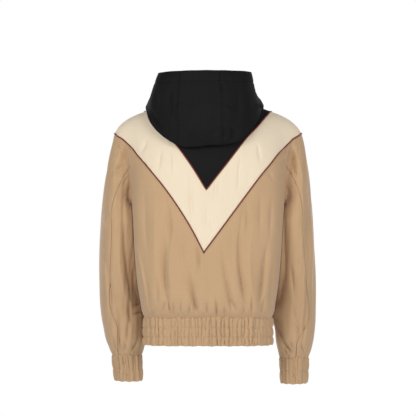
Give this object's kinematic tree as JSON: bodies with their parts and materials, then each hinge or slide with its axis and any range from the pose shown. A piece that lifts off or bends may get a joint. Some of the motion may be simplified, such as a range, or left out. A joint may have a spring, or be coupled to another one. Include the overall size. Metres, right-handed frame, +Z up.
{
  "type": "hooded bomber jacket",
  "caption": "Waist-length bomber jacket with a laid-back hood, chevron bands over the shoulders, gathered elastic hem and cuffs, and a front zip.",
  "frame": {"origin": "midway between the shoulder tops, at the height where the hood meets the shoulders, where the wearer holds the jacket up", "axes": "+Z up, -Y the way the wearer faces, +X the wearer's left"},
  "size_m": [0.5859, 0.3239, 0.845],
  "materials": {
    "beige_cloth": "smooth beige cotton blend with a soft sheen",
    "cream_cloth": "smooth cream cotton blend",
    "black_cloth": "smooth black cotton blend",
    "piping_cloth": "dark brown-red cloth over cord",
    "zip_tape_cloth": "black woven tape",
    "dark_metal": "dark plated metal"
  },
  "bodies": {
    "jacket": {"body_back": "beige_cloth", "front_left": "beige_cloth", "front_right": "beige_cloth", "band_back": "cream_cloth", "band_front_left": "cream_cloth", "band_front_right": "cream_cloth", "yoke_back": "black_cloth", "yoke_front_left": "black_cloth", "yoke_front_right": "black_cloth", "piping_outer": "piping_cloth", "piping_inner": "piping_cloth", "sleeve_upper_left": "beige_cloth", "sleeve_under_left": "beige_cloth", "sleeve_upper_right": "beige_cloth", "sleeve_under_right": "beige_cloth", "hem_band": "beige_cloth", "cuff_left": "beige_cloth", "cuff_right": "beige_cloth", "hood_left": "black_cloth", "hood_right": "black_cloth", "hood_centre": "black_cloth", "zip_tape_left": "zip_tape_cloth", "zip_tape_right": "zip_tape_cloth", "zip_slider": "dark_metal"},
    "pull": {"zip_pull": "dark_metal"}
  },
  "joints": [
    {"name": "pull_hinge", "type": "hinge", "parent": "jacket", "child": "pull", "pos_m": [0, -0.13323, -0.09275], "axis": [-1, 0, 0], "range_deg": [0, 150]}
  ]
}
